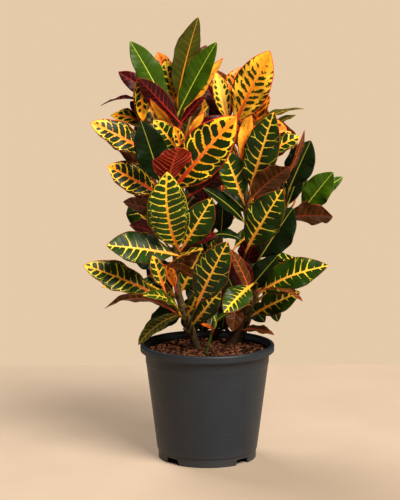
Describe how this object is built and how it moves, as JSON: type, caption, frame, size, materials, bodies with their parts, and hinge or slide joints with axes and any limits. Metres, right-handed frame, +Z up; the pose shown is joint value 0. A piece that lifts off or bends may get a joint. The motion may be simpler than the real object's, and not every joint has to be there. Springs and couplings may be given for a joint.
{
  "type": "potted croton house plant",
  "caption": "Bushy croton with upright woody stems and large folded, wavy-edged, yellow-veined leaves, growing in bark in a plain tapered dark nursery pot",
  "frame": {"origin": "on the plane that the pot stands on, under the middle of the whole plant's bounding box; the pot's own axis is about 12 mm to -X and 38 mm to -Y of it", "axes": "+Z up along the pot's axis and the stems, -Y towards the plant's full front side, +X to the right as seen from the front"},
  "size_m": [0.4014, 0.3466, 0.6872],
  "materials": {
    "pot": "charcoal moulded polypropylene, satin",
    "bark": "loose red-brown potting bark and peat, rough",
    "foliage": "waxy living leaves, dark green with yellow, orange and red veins, on woody stems",
    "shoot": "waxy young green leaves on a soft green shoot"
  },
  "bodies": {
    "root": {"pot": "pot", "soil": "bark", "left_stem": "foliage", "centre_stem": "foliage", "right_stem": "foliage", "side_stem": "foliage", "seedling": "shoot"}
  },
  "joints": []
}
